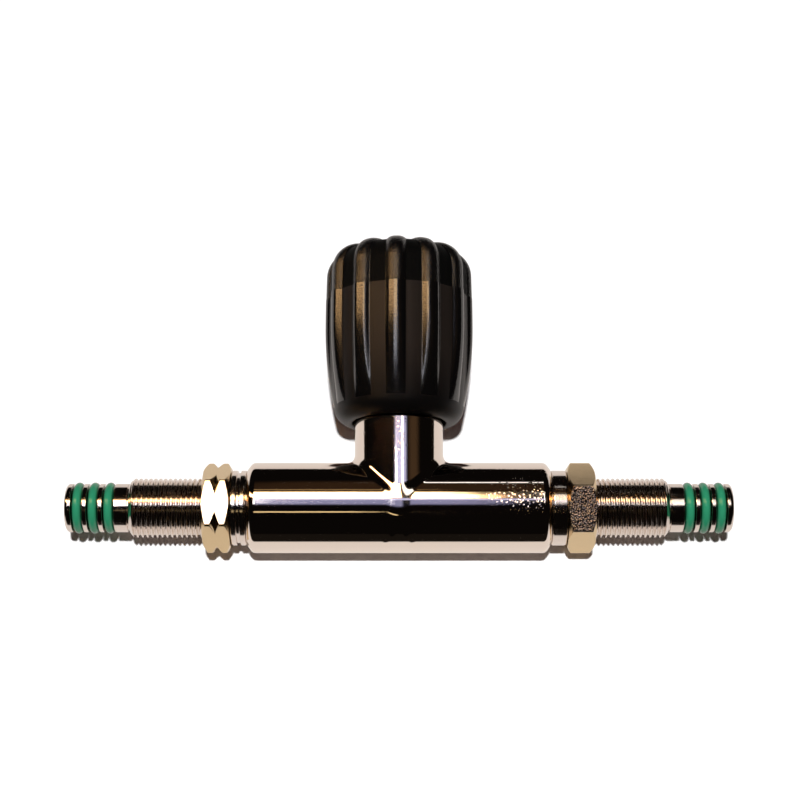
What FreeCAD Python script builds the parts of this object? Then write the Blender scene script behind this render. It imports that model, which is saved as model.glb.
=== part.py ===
import FreeCAD, Part
import math
import os
import Sketcher
from FreeCAD import Placement, Rotation, Vector

# Isolator valve of a twin-cylinder manifold. The cross bar lies along X, with its left-hand thread at -X
# and its right-hand thread at +X. The stem and its knob stand along +Y, and the valve lies on a table, +Z up.
# Left bore, orifice, chamber, drilled way and right bore make the gas path, which the seat disc shuts.

SIZES = {
    # Cross bar and neck, one forging
    "body_radius": 13.8,
    "body_half": 46.3,
    "body_chamfer_along": 1.8,
    "body_chamfer_across": 2.2,
    "neck_inset": 0.2,
    "neck_edge": 0.8,
    "neck_blend": 2.5,
    # Gas ways and the seat inside the bar
    "passage_radius": 3.0,
    "orifice_radius": 2.2,
    "seat_radius": 3.6,
    "seat_level": 9.5,
    "seat_height": 1.0,
    "way_radius": 1.4,
    "way_wall": 1.2,
    "cavity_radius": 8.08,
    "mouth_step": 2.52,
    # Screwed-in connectors
    "bore_radius": 3.5,
    "spigot_radius": 8.0,
    "spigot_length": 14.0,
    "collar_radius": 11.45,
    "collar_length": 4.6,
    "collar_edge": 0.35,
    "collar_groove_width": 1.1,
    "collar_groove_depth": 0.7,
    "thread_radius": 9.0,
    "thread_length": 30.9,
    "thread_lead": 1.0,
    "waist_depth": 0.2,
    "relief_depth": 0.5,
    "relief_width": 0.6,
    "barrel_radius": 7.4,
    "barrel_length": 18.9,
    "barrel_edge": 0.7,
    # Rings in the barrels and behind the collars
    "ring_section": 1.3,
    "ring_stand": 0.4,
    "ring_play": 0.4,
    "ring_pitch": 4.75,
    "ring_end": 3.7,
    "ring_count": 3,
    "face_ring_section": 0.85,
    "face_ring_offset": 1.5,
    # Lock nuts, far enough along the bar to clear the collars
    "nut_wall": 3.0,
    "nut_length": 8.3,
    "nut_gap": 0.2,
    "nut_edge": 0.9,
    "nut_notch_depth": 1.6,
    "left_nut_turn": -2.4,
    "right_nut_turn": -11.5,
    "thread_clearance": 0.06,
    # Bonnet, which screws into the neck and holds the stem in
    "bonnet_flats": 24.0,
    "bonnet_head": 6.0,
    "bonnet_spigot": 9.0,
    "bonnet_edge": 0.8,
    "bonnet_ring_section": 0.75,
    "bonnet_ring_depth": 2.4,
    "washer_thickness": 1.0,
    "washer_margin": 0.1,
    "running_clearance": 0.06,
    "face_clearance": 0.02,
    # Stem, with its tang below, its flange, two rings, a square and a threaded end
    "stem_radius": 5.0,
    "flange_gap": 0.68,
    "flange_thickness": 2.2,
    "tang_thickness": 3.0,
    "tang_width": 9.0,
    "stem_ring_section": 0.8,
    "stem_ring_depth": 5.0,
    "stem_ring_pitch": 5.0,
    "stem_rise": 2.0,
    "square_flats": 7.0,
    "square_length": 13.0,
    "stud_radius": 3.0,
    "stud_length": 12.0,
    # Seat carrier, a screwed plug that the tang turns
    "carrier_length": 8.4,
    "carrier_nose_radius": 5.0,
    "carrier_nose_length": 3.3,
    "slot_depth": 7.0,
    "slot_clearance": 0.1,
    "seat_travel": 2.5,
    "end_clearance": 0.38,
    "disc_radius": 4.2,
    "disc_thickness": 2.2,
    "disc_inset": 1.5,
    # Knob: hard hub inside a ribbed rubber grip
    "skirt_depth": 17.6,
    "foot_inset": 4.4,
    "rim_height": 3.6,
    "rim_round": 4.6,
    "wide_height": 31.1,
    "knob_swell": 3.25,
    "flank_height": 16.3,
    "flank_round": 600.0,
    "crown_round": 9.0,
    "knob_phase": 12.25,
    "rib_count": 12,
    "rib_round": 3.6,
    "rib_height": 1.6,
    "rib_tuck": 1.0,
    "rib_fade": 9.5,
    "rib_dip": 12.0,
    "lip_gap": 0.8,
    "lip_thickness": 2.5,
    "grip_wall": 2.3,
    "hub_wall": 2.2,
    "hub_clearance": 1.54,
    "hub_crown": 2.3,
    "hub_edge": 2.0,
    "hub_web": 14.0,
    "recess_radius": 8.5,
    "recess_wall": 1.8,
    "recess_crown": 7.4,
    "square_clearance": 0.1,
    # Spring and nut that hold the knob on the square
    "spring_washer_play": 0.9,
    "spring_washer_thickness": 1.0,
    "spring_wire": 0.9,
    "spring_radius": 4.7,
    "spring_length": 5.6,
    "spring_turns": 3.0,
    "knob_nut_flats": 10.0,
    "knob_nut_height": 4.5,
}

doc = FreeCAD.newDocument("IsolatorValve")
sheet = doc.addObject("Spreadsheet::Sheet", "size")
for row, (alias, value) in enumerate(SIZES.items(), start=1):
    sheet.set(f"A{row}", alias)
    sheet.set(f"B{row}", str(value))
    sheet.setAlias(f"B{row}", alias)
doc.recompute()

# Places that several pieces share, worked out once from the sizes. Along the bar, from the middle:
BODY_END = "size.body_half"
COLLAR_END = f"({BODY_END} + size.collar_length)"
NUT_START = f"({COLLAR_END} + size.nut_gap)"
NUT_END = f"({NUT_START} + size.nut_length)"
THREAD_END = f"({COLLAR_END} + size.thread_length)"
RELIEF_END = f"({THREAD_END} + size.relief_width)"
BAR_END = f"({RELIEF_END} + size.barrel_length)"
BORE_START = f"({BODY_END} - size.spigot_length)"
GROOVE_HALF = "(size.ring_section + size.ring_play)"
RING_FLOOR = "(size.barrel_radius + size.ring_stand - 2 * size.ring_section)"

# Across the bar and the neck:
NECK = "(size.body_radius - size.neck_inset)"
MOUTH = "(size.cavity_radius + size.mouth_step)"
FLANGE = "(size.cavity_radius - size.flange_gap)"
WASHER = f"({FLANGE} + size.washer_margin)"
WAY_OFFSET = "(size.seat_radius + size.way_wall + size.way_radius)"
NUT_CORNER = "((size.thread_radius + size.nut_wall) / cos(30 deg))"
BONNET_CORNER = "(size.bonnet_flats / 2 / cos(30 deg))"
HUB_CAVITY = f"(max({NECK}; {BONNET_CORNER}) + size.hub_clearance)"
HUB = f"({HUB_CAVITY} + size.hub_wall)"
RIM = f"({HUB} + size.grip_wall)"
WIDE = f"({RIM} + size.knob_swell)"

# Up the stem, from the bar's axis:
FLOOR_LEVEL = "(size.seat_level - size.seat_height)"
DISC_BOTTOM = "(size.seat_level + size.face_clearance)"
NOSE_BOTTOM = f"({DISC_BOTTOM} + size.disc_thickness - size.disc_inset)"
CARRIER_BOTTOM = f"({NOSE_BOTTOM} + size.carrier_nose_length)"
CARRIER_TOP = f"({CARRIER_BOTTOM} + size.carrier_length)"
SLOT_FLOOR = f"({CARRIER_TOP} - size.slot_depth)"
TANG_BOTTOM = f"({SLOT_FLOOR} + size.seat_travel + size.end_clearance)"
FLANGE_BOTTOM = f"({CARRIER_TOP} + size.seat_travel + size.end_clearance)"
FLANGE_TOP = f"({FLANGE_BOTTOM} + size.flange_thickness)"
BONNET_BOTTOM = f"({FLANGE_TOP} + size.face_clearance)"
WASHER_BOTTOM = BONNET_BOTTOM
WASHER_TOP = f"({WASHER_BOTTOM} + size.washer_thickness)"
NECK_TOP = f"({BONNET_BOTTOM} + size.bonnet_spigot)"
BONNET_TOP = f"({NECK_TOP} + size.bonnet_head)"
BONNET_RING = f"({NECK_TOP} - size.bonnet_ring_depth)"
STEM_RING_HIGH = f"({BONNET_TOP} - size.stem_ring_depth)"
STEM_RING_LOW = f"({STEM_RING_HIGH} - size.stem_ring_pitch)"
STEM_SHOULDER = f"({BONNET_TOP} + size.stem_rise)"
STUD_BOTTOM = f"({STEM_SHOULDER} + size.square_length)"
STUD_TOP = f"({STUD_BOTTOM} + size.stud_length)"
FOOT = f"({STEM_SHOULDER} - size.skirt_depth)"
RIM_LEVEL = f"({FOOT} + size.rim_height)"
WIDE_LEVEL = f"({FOOT} + size.wide_height)"
FLANK_TOP = f"({WIDE_LEVEL} + size.flank_height)"
HUB_BOTTOM = f"({FOOT} + size.lip_thickness)"
HUB_TOP = f"({FLANK_TOP} + size.hub_crown)"
RECESS_TOP = f"({FLANK_TOP} + size.recess_crown)"
WEB_TOP = f"({STEM_SHOULDER} + size.hub_web)"
SPRING_BOTTOM = f"({WEB_TOP} + size.spring_washer_thickness)"
SPRING_TOP = f"({SPRING_BOTTOM} + size.spring_length)"


def number(text):
    """The value that an expression comes to."""
    return float(sheet.evalExpression(str(text)))


def mirrored(side, text):
    """A place along the bar, on the right for side 1 and on the left for side -1."""
    return text if side > 0 else f"-({text})"


def new_body(label):
    body = doc.addObject("PartDesign::Body", label)
    body.Label = label
    return body


def new_sketch(body, plane, offset=None, axis=None, turn=None):
    """A sketch on one of the body's own origin planes, lifted along the plane's normal by the offset, and
    turned about one of its own axes."""
    sketch = body.newObject("Sketcher::SketchObject", f"{body.Label}_sketch")
    support = [entry for entry in body.Origin.OriginFeatures if entry.Role == plane][0]
    sketch.AttachmentSupport = [(support, "")]
    sketch.MapMode = "FlatFace"
    if turn is not None:
        sketch.AttachmentOffset = Placement(Vector(), Rotation(axis, number(turn)))
        sketch.setExpression("AttachmentOffset.Rotation.Angle", turn)
    if offset is not None:
        sketch.setExpression("AttachmentOffset.Base.z", offset)
    return sketch


def pin_point(sketch, geometry, end, across, up):
    """Ties one point of the sketch to its two coordinates."""
    for kind, text in (("DistanceX", across), ("DistanceY", up)):
        place = sketch.addConstraint(Sketcher.Constraint(kind, -1, 1, geometry, end, number(text)))
        sketch.setExpression(f"Constraints[{place}]", str(text))


def end_at(sketch, geometry, point):
    """Which end of a line or arc, 1 or 2, lies at the point."""
    near = sketch.getPoint(geometry, 1) - point
    far = sketch.getPoint(geometry, 2) - point
    return 1 if near.Length < far.Length else 2


def trace(sketch, corners, closed=True):
    """Lines through the corners (across, up). A third entry makes the edge to the next corner an arc of that
    radius, which bulges to the right of its direction, or to the left where the radius is negative."""
    points = [Vector(number(corner[0]), number(corner[1]), 0) for corner in corners]
    count = len(points) if closed else len(points) - 1
    edges = []
    for index in range(count):
        start = points[index]
        end = points[(index + 1) % len(points)]
        if len(corners[index]) == 2:
            edges.append(sketch.addGeometry(Part.LineSegment(start, end), False))
            continue
        radius = number(corners[index][2])
        chord = end - start
        rise = abs(radius) - math.sqrt(radius**2 - (chord.Length / 2) ** 2)
        bulge = Vector(chord.y, -chord.x, 0).normalize() * math.copysign(rise, radius)
        arc = Part.Arc(start, (start + end) * 0.5 + bulge, end)
        edges.append(sketch.addGeometry(arc, False))
        place = sketch.addConstraint(Sketcher.Constraint("Radius", edges[-1], abs(radius)))
        sketch.setExpression(f"Constraints[{place}]", f"abs({corners[index][2]})")
    for index, edge in enumerate(edges):
        start_end = end_at(sketch, edge, points[index])
        pin_point(sketch, edge, start_end, corners[index][0], corners[index][1])
        if closed or index + 1 < len(edges):
            following = edges[(index + 1) % len(edges)]
            joint = points[(index + 1) % len(points)]
            ends = (edge, end_at(sketch, edge, joint), following, end_at(sketch, following, joint))
            sketch.addConstraint(Sketcher.Constraint("Coincident", *ends))
        else:
            pin_point(sketch, edge, 3 - start_end, corners[-1][0], corners[-1][1])
    return sketch


def circle(sketch, across, up, radius):
    """A full circle about a point of the sketch."""
    centre = Vector(number(across), number(up), 0)
    ring = sketch.addGeometry(Part.Circle(centre, Vector(0, 0, 1), number(radius)), False)
    pin_point(sketch, ring, 3, across, up)
    place = sketch.addConstraint(Sketcher.Constraint("Radius", ring, number(radius)))
    sketch.setExpression(f"Constraints[{place}]", radius)
    return sketch


def hexagon(sketch, corner_radius, turn="0"):
    """A hexagon about the sketch's origin, with its first corner at the angle turn, in degrees."""
    corners = []
    for index in range(6):
        angle = f"({turn} + {60 * index}) * 1 deg"
        corners.append((f"{corner_radius} * cos({angle})", f"{corner_radius} * sin({angle})"))
    return trace(sketch, corners)


def turned(body, corners, axis, kind="Revolution"):
    """A full turn of an outline about the bar's axis (H_Axis) or the stem's axis (V_Axis)."""
    sketch = trace(new_sketch(body, "XY_Plane"), corners)
    feature = body.newObject(f"PartDesign::{kind}", f"{body.Label}_{kind.lower()}")
    feature.Profile = sketch
    feature.ReferenceAxis = (sketch, [axis])
    feature.Angle = 360.0
    sketch.Visibility = False
    doc.recompute()
    return feature


def extruded(body, sketch, length, kind="Pad", reverse=False):
    """A straight pad or pocket of a sketch."""
    feature = body.newObject(f"PartDesign::{kind}", f"{body.Label}_{kind.lower()}")
    feature.Profile = sketch
    feature.setExpression("Length", length)
    feature.Reversed = reverse
    doc.recompute()
    return feature


def edges_where(shape, test):
    """Names of the edges whose middle point passes the test."""
    names = []
    for index, edge in enumerate(shape.Edges, start=1):
        middle = edge.valueAt((edge.FirstParameter + edge.LastParameter) / 2)
        if test(middle):
            names.append(f"Edge{index}")
    return names


def ring(label, axis, place, radius, section):
    """A round-section seal about the bar (X) or the stem (Y), centred at the place along it."""
    torus = doc.addObject("Part::Torus", label)
    torus.Label = label
    torus.setExpression("Radius1", radius)
    torus.setExpression("Radius2", section)
    if axis == "x":
        torus.Placement = Placement(Vector(), Rotation(Vector(0, 1, 0), 90))
    else:
        torus.Placement = Placement(Vector(), Rotation(Vector(1, 0, 0), -90))
    torus.setExpression(f"Placement.Base.{axis}", place)
    return torus


def washer(label, bottom, thickness, outer, inner):
    """A flat washer about the stem, standing on the level bottom."""
    disc = new_body(label)
    top = f"({bottom} + {thickness})"
    turned(disc, [(inner, bottom), (outer, bottom), (outer, top), (inner, top)], "V_Axis")
    return disc


def valve_body():
    """Bar and neck with a blended joint, bored for the connectors, the seat and the bonnet."""
    body = new_body("valve_body")
    shoulder = "size.body_half - size.body_chamfer_along"
    face = "size.body_radius - size.body_chamfer_across"
    turned(body, [
        (f"-{BODY_END}", "0"), (BODY_END, "0"), (BODY_END, face), (shoulder, "size.body_radius"),
        (f"-({shoulder})", "size.body_radius"), (f"-{BODY_END}", face),
    ], "H_Axis")
    neck = turned(body, [
        ("0", "0"), (NECK, "0"), (NECK, f"{NECK_TOP} - size.neck_edge"),
        (f"{NECK} - size.neck_edge", NECK_TOP), ("0", NECK_TOP),
    ], "V_Axis")
    neck_radius = number(NECK)
    bar_radius = number("size.body_radius")

    def on_joint(point):
        on_neck = abs(math.hypot(point.x, point.z) - neck_radius) < 0.001
        return on_neck and abs(math.hypot(point.y, point.z) - bar_radius) < 0.001

    blend = body.newObject("PartDesign::Fillet", "neck_blend")
    blend.Base = (neck, edges_where(neck.Shape, on_joint))
    blend.setExpression("Radius", "size.neck_blend")
    doc.recompute()
    turned(body, [
        ("0", "0"), ("size.orifice_radius", "0"), ("size.orifice_radius", "size.seat_level"),
        ("size.seat_radius", "size.seat_level"), ("size.seat_radius", FLOOR_LEVEL),
        ("size.cavity_radius", FLOOR_LEVEL), ("size.cavity_radius", FLANGE_TOP),
        (MOUTH, FLANGE_TOP), (MOUTH, f"{NECK_TOP} + 1"), ("0", f"{NECK_TOP} + 1"),
    ], "V_Axis", "Groove")
    starts = {-1: "-size.orifice_radius", 1: f"({WAY_OFFSET} - size.way_radius)"}
    for side, start in starts.items():
        turned(body, [
            (mirrored(side, start), "0"), (mirrored(side, f"{BODY_END} + 1"), "0"),
            (mirrored(side, f"{BODY_END} + 1"), "size.spigot_radius"),
            (mirrored(side, BORE_START), "size.spigot_radius"),
            (mirrored(side, BORE_START), "size.passage_radius"),
            (mirrored(side, start), "size.passage_radius"),
        ], "H_Axis", "Groove")
    way = circle(new_sketch(body, "XZ_Plane"), WAY_OFFSET, "0", "size.way_radius")
    extruded(body, way, f"{FLOOR_LEVEL} + 0.5", "Pocket")
    return body


def connector(label, side, grooved_collar):
    """Spigot, collar, thread and grooved barrel on one bored bar, turned about the bar's axis."""
    seal_far = "(size.body_half - size.face_ring_offset + size.face_ring_section + 0.2)"
    seal_near = "(size.body_half - size.face_ring_offset - size.face_ring_section - 0.2)"
    seal_floor = "(size.spigot_radius - 2 * size.face_ring_section)"
    relief = "size.barrel_radius - size.relief_depth"
    waist = "size.thread_radius - size.waist_depth"
    corners = [
        (BORE_START, "size.bore_radius"), (BAR_END, "size.bore_radius"),
        (BAR_END, "size.barrel_radius - size.barrel_edge"),
        (f"{BAR_END} - size.barrel_edge", "size.barrel_radius"),
    ]
    for index in range(SIZES["ring_count"]):
        centre = f"({BAR_END} - size.ring_end - {index} * size.ring_pitch)"
        corners += [
            (f"{centre} + {GROOVE_HALF}", "size.barrel_radius"),
            (f"{centre} + {GROOVE_HALF}", RING_FLOOR),
            (f"{centre} - {GROOVE_HALF}", RING_FLOOR),
            (f"{centre} - {GROOVE_HALF}", "size.barrel_radius"),
        ]
    corners += [
        (RELIEF_END, "size.barrel_radius"), (RELIEF_END, relief), (THREAD_END, relief),
        (THREAD_END, "size.thread_radius - size.thread_lead"),
        (f"{THREAD_END} - size.thread_lead", "size.thread_radius"),
        (f"{NUT_END} + size.nut_gap", "size.thread_radius"), (f"{NUT_END} + size.nut_gap", waist),
        (COLLAR_END, waist), (COLLAR_END, "size.collar_radius - size.collar_edge"),
        (f"{COLLAR_END} - size.collar_edge", "size.collar_radius"),
    ]
    if grooved_collar:
        middle = f"({BODY_END} + size.collar_length / 2)"
        half = "size.collar_groove_width / 2"
        floor = "size.collar_radius - size.collar_groove_depth"
        corners += [
            (f"{middle} + {half}", "size.collar_radius"), (f"{middle} + {half}", floor),
            (f"{middle} - {half}", floor), (f"{middle} - {half}", "size.collar_radius"),
        ]
    corners += [
        (f"{BODY_END} + size.collar_edge", "size.collar_radius"),
        (BODY_END, "size.collar_radius - size.collar_edge"), (BODY_END, "size.spigot_radius"),
        (seal_far, "size.spigot_radius"), (seal_far, seal_floor), (seal_near, seal_floor),
        (seal_near, "size.spigot_radius"), (BORE_START, "size.spigot_radius"),
    ]
    body = new_body(label)
    turned(body, [(mirrored(side, along), across) for along, across in corners], "H_Axis")
    return body


def connector_rings(name, side):
    """The barrel's rings, counted from the end inwards, and the ring behind the collar."""
    rings = []
    for index in range(SIZES["ring_count"]):
        centre = f"{BAR_END} - size.ring_end - {index} * size.ring_pitch"
        label = f"{name}_barrel_seal_{index + 1}"
        radius = f"{RING_FLOOR} + size.ring_section"
        rings.append(ring(label, "x", mirrored(side, centre), radius, "size.ring_section"))
    centre = "size.body_half - size.face_ring_offset"
    radius = "size.spigot_radius - size.face_ring_section"
    rings.append(ring(f"{name}_connector_seal", "x", mirrored(side, centre), radius, "size.face_ring_section"))
    return rings


def lock_nut(label, side, turn, notched):
    """Hexagon nut, turned down at both faces, bored over the thread; the left one has a notch round it."""
    body = new_body(label)
    start = NUT_START if side > 0 else f"-({NUT_END})"
    sketch = new_sketch(body, "YZ_Plane", start)
    extruded(body, hexagon(sketch, NUT_CORNER, f"90 - {turn} + 30"), "size.nut_length")
    outside = f"{NUT_CORNER} + 1"
    for near, inward in ((NUT_START, 1), (NUT_END, -1)):
        turned(body, [
            (mirrored(side, near), f"{NUT_CORNER} - size.nut_edge * 1.8"), (mirrored(side, near), outside),
            (mirrored(side, f"{near} + {inward} * size.nut_edge"), outside),
            (mirrored(side, f"{near} + {inward} * size.nut_edge"), NUT_CORNER),
        ], "H_Axis", "Groove")
    if notched:
        middle = f"({NUT_START} + size.nut_length / 2)"
        floor = f"{NUT_CORNER} - size.nut_notch_depth"
        turned(body, [
            (mirrored(side, f"{middle} - size.nut_notch_depth"), outside), (mirrored(side, middle), floor),
            (mirrored(side, f"{middle} + size.nut_notch_depth"), outside),
        ], "H_Axis", "Groove")
    bore = "size.thread_radius + size.thread_clearance"
    turned(body, [
        (mirrored(side, f"{NUT_START} - 1"), "0"), (mirrored(side, f"{NUT_END} + 1"), "0"),
        (mirrored(side, f"{NUT_END} + 1"), bore), (mirrored(side, f"{NUT_START} - 1"), bore),
    ], "H_Axis", "Groove")
    return body


def bonnet():
    """Gland nut: hexagon head over a screwed spigot, bored for the stem and recessed for its washer."""
    body = new_body("bonnet")
    sketch = hexagon(new_sketch(body, "XZ_Plane", f"-{NECK_TOP}"), BONNET_CORNER)
    extruded(body, sketch, "size.bonnet_head", "Pad", reverse=True)
    ring_half = "(size.bonnet_ring_section + 0.2)"
    ring_floor = f"{MOUTH} - 2 * size.bonnet_ring_section"
    turned(body, [
        ("0", BONNET_BOTTOM), (MOUTH, BONNET_BOTTOM),
        (MOUTH, f"{BONNET_RING} - {ring_half}"), (ring_floor, f"{BONNET_RING} - {ring_half}"),
        (ring_floor, f"{BONNET_RING} + {ring_half}"), (MOUTH, f"{BONNET_RING} + {ring_half}"),
        (MOUTH, NECK_TOP), ("0", NECK_TOP),
    ], "V_Axis")
    outside = f"{BONNET_CORNER} + 1"
    turned(body, [
        (f"{BONNET_CORNER} - size.bonnet_edge * 1.8", BONNET_TOP), (BONNET_CORNER, f"{BONNET_TOP} - size.bonnet_edge"),
        (outside, f"{BONNET_TOP} - size.bonnet_edge"), (outside, BONNET_TOP),
    ], "V_Axis", "Groove")
    bore = "size.stem_radius + size.running_clearance"
    turned(body, [
        ("0", f"{BONNET_BOTTOM} - 1"), (WASHER, f"{BONNET_BOTTOM} - 1"), (WASHER, WASHER_TOP),
        (bore, WASHER_TOP), (bore, f"{BONNET_TOP} + 1"), ("0", f"{BONNET_TOP} + 1"),
    ], "V_Axis", "Groove")
    return body


def stem():
    """Turned stem with a flange, ring grooves, a milled square and a flat tang."""
    body = new_body("stem")
    ring_half = "(size.stem_ring_section + 0.2)"
    ring_floor = "size.stem_radius - 2 * size.stem_ring_section"
    corners = [
        ("0", TANG_BOTTOM), ("size.tang_width / 2", TANG_BOTTOM), ("size.tang_width / 2", FLANGE_BOTTOM),
        (FLANGE, FLANGE_BOTTOM), (FLANGE, FLANGE_TOP),
        ("size.stem_radius", FLANGE_TOP),
    ]
    for level in (STEM_RING_LOW, STEM_RING_HIGH):
        corners += [
            ("size.stem_radius", f"{level} - {ring_half}"), (ring_floor, f"{level} - {ring_half}"),
            (ring_floor, f"{level} + {ring_half}"), ("size.stem_radius", f"{level} + {ring_half}"),
        ]
    corners += [
        ("size.stem_radius", STUD_BOTTOM), ("size.stud_radius", STUD_BOTTOM),
        ("size.stud_radius", f"{STUD_TOP} - 0.6"), ("size.stud_radius - 0.6", STUD_TOP), ("0", STUD_TOP),
    ]
    turned(body, corners, "V_Axis")
    reach = f"{FLANGE} + 1"
    for side in (-1, 1):
        flat = f"{side} * size.tang_thickness / 2"
        outer = f"{side} * ({reach})"
        sketch = new_sketch(body, "YZ_Plane", f"-({reach})")
        trace(sketch, [
            (f"{TANG_BOTTOM} - 1", flat), (FLANGE_BOTTOM, flat), (FLANGE_BOTTOM, outer),
            (f"{TANG_BOTTOM} - 1", outer),
        ])
        extruded(body, sketch, f"2 * ({reach})", "Pocket", reverse=True)
    sketch = new_sketch(body, "XZ_Plane", f"-{STEM_SHOULDER}")
    half = "size.square_flats / 2"
    trace(sketch, [(half, half), (f"-({half})", half), (f"-({half})", f"-({half})"), (half, f"-({half})")])
    circle(sketch, "0", "0", reach)
    extruded(body, sketch, "size.square_length", "Pocket")
    return body


def seat_carrier():
    """Screwed plug with a slot for the tang above and a socket for the disc below."""
    body = new_body("seat_carrier")
    radius = "size.cavity_radius - size.thread_clearance"
    turned(body, [
        ("size.disc_radius", NOSE_BOTTOM), ("size.carrier_nose_radius", NOSE_BOTTOM),
        ("size.carrier_nose_radius", CARRIER_BOTTOM), (radius, CARRIER_BOTTOM), (radius, CARRIER_TOP),
        ("0", CARRIER_TOP), ("0", f"{DISC_BOTTOM} + size.disc_thickness"),
        ("size.disc_radius", f"{DISC_BOTTOM} + size.disc_thickness"),
    ], "V_Axis")
    wide = "size.cavity_radius + 1"
    half = "(size.tang_thickness / 2 + size.slot_clearance)"
    sketch = new_sketch(body, "YZ_Plane", f"-({wide})")
    trace(sketch, [
        (SLOT_FLOOR, f"-{half}"), (f"{CARRIER_TOP} + 1", f"-{half}"),
        (f"{CARRIER_TOP} + 1", half), (SLOT_FLOOR, half),
    ])
    extruded(body, sketch, f"2 * ({wide})", "Pocket", reverse=True)
    return body


def seat_disc():
    """Plain disc that shuts the orifice."""
    body = new_body("seat_disc")
    top = f"{DISC_BOTTOM} + size.disc_thickness"
    turned(body, [("0", DISC_BOTTOM), ("size.disc_radius", DISC_BOTTOM), ("size.disc_radius", top), ("0", top)],
           "V_Axis")
    return body


def hub_outline():
    """The surface that hub and grip share, from the foot up to the recess."""
    wall = "size.recess_radius + size.recess_wall"
    return [
        (HUB, HUB_BOTTOM), (HUB, f"{HUB_TOP} - size.hub_edge"), (f"{HUB} - size.hub_edge", HUB_TOP),
        (wall, HUB_TOP), (wall, RECESS_TOP),
    ]


def knob_hub():
    """Hard hub: a cup over the bonnet, a web with the square hole, and a recess for the spring and nut."""
    body = new_body("knob_hub")
    turned(body, [(HUB_CAVITY, HUB_BOTTOM)] + hub_outline() + [
        ("size.recess_radius", RECESS_TOP), ("size.recess_radius", WEB_TOP), ("0", WEB_TOP),
        ("0", STEM_SHOULDER), (HUB_CAVITY, STEM_SHOULDER),
    ], "V_Axis")
    sketch = new_sketch(body, "XZ_Plane", f"1 - {STEM_SHOULDER}")
    half = "(size.square_flats / 2 + size.square_clearance)"
    trace(sketch, [(half, half), (f"-{half}", half), (f"-{half}", f"-{half}"), (half, f"-{half}")])
    extruded(body, sketch, "size.hub_web + 2", "Pocket")
    return body


def arc_radius(drop, rise):
    """Radius of the arc that starts along the axis and comes in by drop over a length of rise."""
    return f"((({rise})^2 + ({drop})^2) / (2 * ({drop})))"


def upper_side(inset, crown, over):
    """The knob's side above its widest level, inset from the crest: the flank's long arc, then the crown's
    arc, tangent to it, which ends over degrees past its top. The last entry is the point where it ends."""
    flank = f"(size.flank_round - {inset})"
    lean = f"asin(size.flank_height / {flank})"
    across = f"({WIDE} - size.flank_round + ({flank} - {crown}) * cos({lean}))"
    up = f"({WIDE_LEVEL} + ({flank} - {crown}) * sin({lean}))"
    return [
        (f"{WIDE} - {inset}", WIDE_LEVEL, flank),
        (f"{across} + {crown} * cos({lean})", FLANK_TOP, crown),
        (f"{across} - {crown} * sin({over} * 1 deg)", f"{up} + {crown} * cos({over} * 1 deg)"),
    ]


def knob_grip():
    """Barrel-shaped rubber grip: a turned barrel, and ribs swept along its crest that fade at both ends."""
    body = new_body("knob_grip")
    rise = f"({WIDE_LEVEL} - {RIM_LEVEL})"
    valley_low = arc_radius("size.knob_swell - size.rib_height", rise)
    side = upper_side("size.rib_height", "(size.crown_round - size.rib_height / 2)", "0")
    turned(body, [
        ("0", FOOT), (f"{RIM} - size.foot_inset", FOOT, "size.rim_round"), (RIM, RIM_LEVEL, valley_low),
    ] + side + [("0", side[-1][1])], "V_Axis")

    # The rib's centre line runs one rib radius inside the crest, from a little below the rim. The first rib
    # stands half a pitch from the seam of the turned barrel.
    half_pitch = "(180 / size.rib_count)"
    crest_low = arc_radius("size.knob_swell", rise)
    low = f"({RIM_LEVEL} - size.rib_tuck)"
    lean = f"asin(({WIDE_LEVEL} - {low}) / ({crest_low} - size.rib_round))"
    start = f"({WIDE} - {crest_low} + ({crest_low} - size.rib_round) * cos({lean}))"
    side = upper_side("size.rib_round", "(size.crown_round - size.rib_round)", "size.rib_dip")
    last, top = side[-1]
    upright = new_sketch(body, "XY_Plane", axis=Vector(0, 1, 0), turn=half_pitch)
    path = trace(upright, [(start, low, f"{crest_low} - size.rib_round")] + side + [
        ("size.rib_fade", f"{top} - ({last} - size.rib_fade) * tan(size.rib_dip * 1 deg)"),
    ], closed=False)

    # The section lies level while the path leans there, so its circle is that much larger
    section = new_sketch(body, "XZ_Plane", f"-{low}", Vector(0, 0, -1), half_pitch)
    circle(section, start, "0", f"size.rib_round / cos({lean})")
    rib = body.newObject("PartDesign::AdditivePipe", "rib")
    rib.Profile = section
    rib.Spine = path
    doc.recompute()
    ribs = body.newObject("PartDesign::PolarPattern", "ribs")
    ribs.Originals = [rib]
    ribs.Axis = (path, ["V_Axis"])
    ribs.Angle = 360.0
    ribs.setExpression("Occurrences", "size.rib_count")
    body.Tip = ribs
    doc.recompute()

    lip = f"{NECK} + size.lip_gap"
    above = f"{FLANK_TOP} + 2 * size.crown_round"
    turned(body, [("0", f"{FOOT} - 1"), (lip, f"{FOOT} - 1"), (lip, HUB_BOTTOM)] + hub_outline() + [
        ("size.recess_radius + size.recess_wall", above), ("0", above),
    ], "V_Axis", "Groove")
    body.Placement = Placement(Vector(), Rotation(Vector(0, 1, 0), number("size.knob_phase")))
    body.setExpression("Placement.Rotation.Angle", "size.knob_phase")
    return body


def knob_spring():
    """Open coil spring of round wire, between the washer and the nut."""
    body = new_body("knob_spring")
    sketch = circle(new_sketch(body, "XY_Plane"), "size.spring_radius",
                    f"{SPRING_BOTTOM} + size.spring_wire / 2", "size.spring_wire / 2")
    coil = body.newObject("PartDesign::AdditiveHelix", "coil")
    coil.Profile = sketch
    coil.ReferenceAxis = (sketch, ["V_Axis"])
    coil.Mode = "height-turns-angle"
    coil.setExpression("Height", "size.spring_length - size.spring_wire")
    coil.setExpression("Turns", "size.spring_turns")
    doc.recompute()
    return body


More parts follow.
